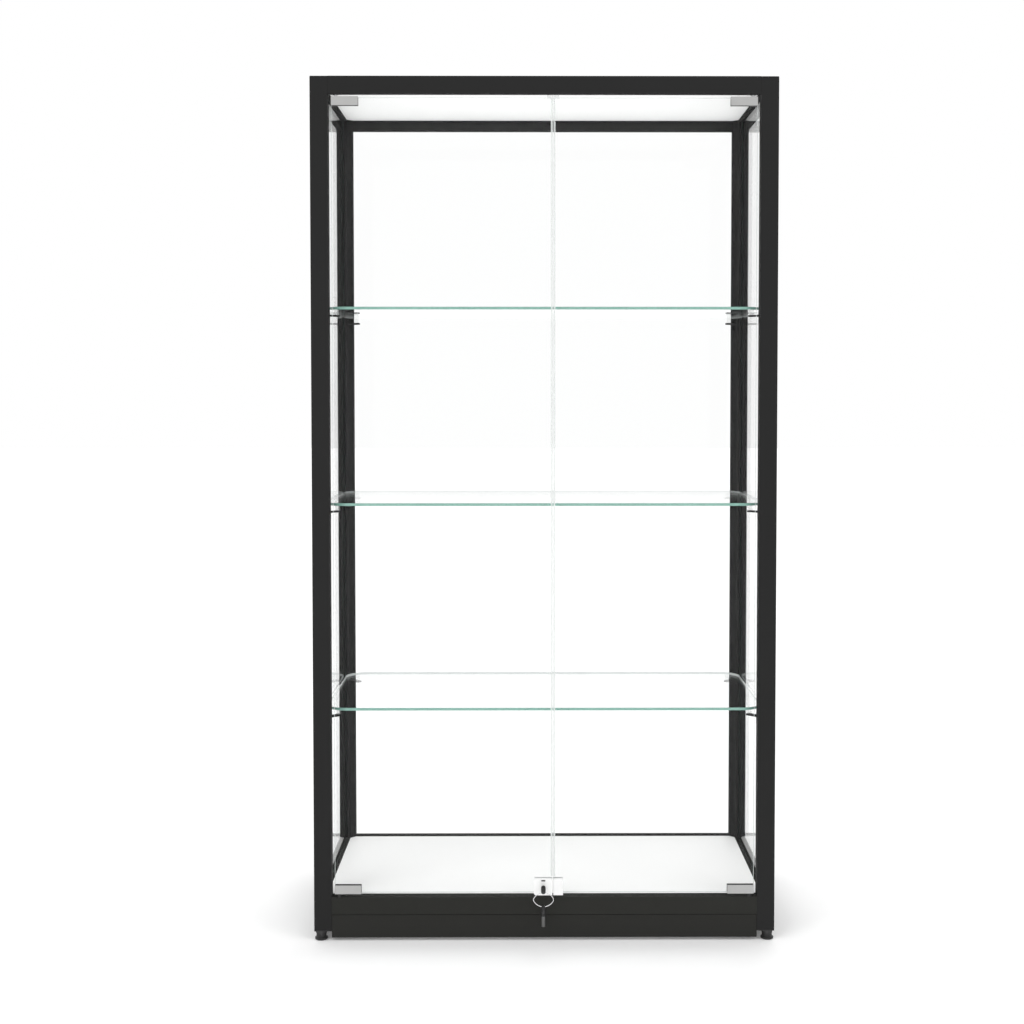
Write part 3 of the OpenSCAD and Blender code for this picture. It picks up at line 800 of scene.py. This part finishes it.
@dataclass
class Carcass:
    """Posts, rails, boards and their fittings."""

    edge: float = 0.6 * MM

    def build(self) -> None:
        """Dresses every solid of the carcass."""
        for end in ("front", "rear"):
            for side in ("left", "right"):
                dress(f"post_{end}_{side}", Finish.FRAME, self.edge)
        for side in ("front", "rear", "left", "right"):
            dress(f"top_rail_{side}", Finish.FRAME, self.edge)
            dress(f"bottom_rail_{side}", Finish.BOTTOM_RAIL, self.edge)
            dress(f"kick_board_{side}", Finish.KICK, self.edge)
        dress("post_caps", Finish.FRAME, 1.2 * MM)
        dress("foot_inserts", Finish.CAP, self.edge)
        dress("corner_connectors", Finish.ZINC)
        dress("deck_panel", Finish.WHITE_BOARD, self.edge)
        dress("ceiling_panel", Finish.WHITE_BOARD, self.edge)
        dress("glazing_gaskets", Finish.RUBBER)
        dress("shelf_brackets", Finish.FRAME, 0.4 * MM)
        dress("bracket_pads", Finish.STOP)
        dress("pivot_bushes", Finish.CAP)
        dress("door_stop", Finish.STOP, self.edge)
        for end in ("front", "rear"):
            for side in ("left", "right"):
                dress(f"foot_{end}_{side}", Finish.CAP, 0.4 * MM)


@dataclass
class FixedGlazing:
    """Side and back panes and the shelves, as ground and arrised glass.

    A shelf's edge is green where it faces forward by more than the front turn, and
    painted paler at its sides and back: painted light for the light those edges catch.
    """

    shelf_corner: float = 50 * MM
    corner_steps: int = 20
    front_turn: float = -0.5

    def build(self) -> None:
        """Makes each pane and each shelf."""
        for node in ("side_glass_left", "side_glass_right", "back_glass"):
            self.pane(node, Finish.PANE, Finish.PANE_EDGE, "frame")
        for level in ("upper", "middle", "lower"):
            self._shelf(f"shelf_{level}")

    @staticmethod
    def pane(node: str, faces: Finish, edges: Finish, body: str) -> bpy.types.Object:
        """Replaces an upright solid pane.

        Args:
            node: The solid's name.
            faces: Finish of its faces.
            edges: Finish of its edges.
            body: The body that it moves with.

        Returns:
            The pane.
        """
        low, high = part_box(node)
        across = 0 if high.x - low.x < high.y - low.y else 1
        along = 1 - across
        outline = [
            (low[along], low.z),
            (high[along], low.z),
            (high[along], high.z),
            (low[along], high.z),
        ]
        # The pane's own X runs along it, its own Y up and its own Z through it.
        columns = [Vector(), Vector((0.0, 0.0, 1.0)), Vector()]
        columns[0][along] = 1.0
        columns[2][across] = 1.0
        place = Matrix(columns).transposed().to_4x4()
        place.translation[across] = low[across]
        made = glass_slab(
            f"{node}_pane", outline, high[across] - low[across], place, faces, edges
        )
        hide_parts(node)
        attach(made, body)
        log.info("made %s", made.name)
        return made

    def _shelf(self, node: str) -> None:
        """Replaces a solid shelf by one with round corners and arrised edges."""
        low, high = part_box(node)
        outline = rounded_rectangle(low.xy, high.xy, self.shelf_corner, self.corner_steps)
        place = Matrix.Translation((0.0, 0.0, low.z))
        made = glass_slab(
            f"{node}_glass", outline, high.z - low.z, place, Finish.SHELF, Finish.SHELF_EDGE
        )
        # Painted light: edges that don't face forward take the paler copy of the edge.
        made.data.materials.append(Finish.SHELF_REAR.material())
        for face in made.data.polygons:
            if face.material_index == 1 and face.normal.y > self.front_turn:
                face.material_index = 2
        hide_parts(node)
        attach(made, "frame")
        log.info("made %s", made.name)


@dataclass
class Door:
    """One door: its pane, clamps, linings, screws, pins and edge seal."""

    side: str

    def build(self) -> None:
        """Makes the pane and dresses the hardware."""
        body = f"{self.side}_door"
        FixedGlazing.pane(
            f"door_glass_{self.side}", Finish.DOOR_PANE, Finish.DOOR_EDGE, body
        )
        for end in ("top", "bottom"):
            dress(f"hinge_clamp_{self.side}_{end}", Finish.CLAMP, 0.5 * MM)
        dress(f"clamp_pads_{self.side}", Finish.LINING)
        dress(f"grub_screws_{self.side}", Finish.STEEL)
        dress(f"pivot_pins_{self.side}", Finish.STEEL)
        dress(f"door_seal_{self.side}", Finish.SEAL)


@dataclass
class LockSet:
    """Lock, strike, keys and ring, and a black block in the lock's slot as painted shade."""

    slot_size: tuple[float, float, float] = (8.6 * MM, 2.2 * MM, 2.9 * MM)
    slot_at: tuple[float, float, float] = (-2.5 * MM, -239.4 * MM, 134.35 * MM)
    slot_rounding: float = 0.35
    slot_steps: int = 6

    def build(self) -> None:
        """Dresses the lock and its keys."""
        dress("lock_body", Finish.LOCK, 0.6 * MM)
        dress("strike_plate", Finish.STRIKE, 0.6 * MM)
        dress("lock_plug", Finish.LOCK)
        dress("lock_bolt", Finish.STEEL)
        dress("key_head", Finish.KEY_HEAD, 0.5 * MM)
        dress("spare_key_head", Finish.KEY_HEAD, 0.5 * MM)
        dress("key_shank", Finish.STEEL)
        dress("spare_key_shank", Finish.DULL_STEEL)
        dress("key_ring", Finish.WIRE)
        self._paint_slot_shade()

    def _paint_slot_shade(self) -> None:
        """Makes a black block at the bottom of the lock's slot: painted shade that makes the
        slot dark.
        """
        width, depth, height = self.slot_size
        outline = rounded_rectangle(
            (-width / 2, -height / 2),
            (width / 2, height / 2),
            height * self.slot_rounding,
            self.slot_steps,
        )
        bm = prism(outline, depth)
        turn = Matrix.Rotation(math.pi / 2, 4, "X")
        bmesh.ops.transform(bm, matrix=Matrix.Translation(self.slot_at) @ turn, verts=bm.verts)
        # Painted shade: a black block where the slot is only in shade.
        shade_block = new_piece("lock_slot_painted_shade", bm, [Finish.RUBBER])
        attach(shade_block, "left_door")
        log.info("made %s", shade_block.name)


def main() -> None:
    """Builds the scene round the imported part."""
    logging.basicConfig(level=logging.INFO, format="%(name)s: %(message)s")
    Studio().build()
    Carcass().build()
    FixedGlazing().build()
    for side in ("left", "right"):
        Door(side).build()
    LockSet().build()


if __name__ == "__main__":
    main()
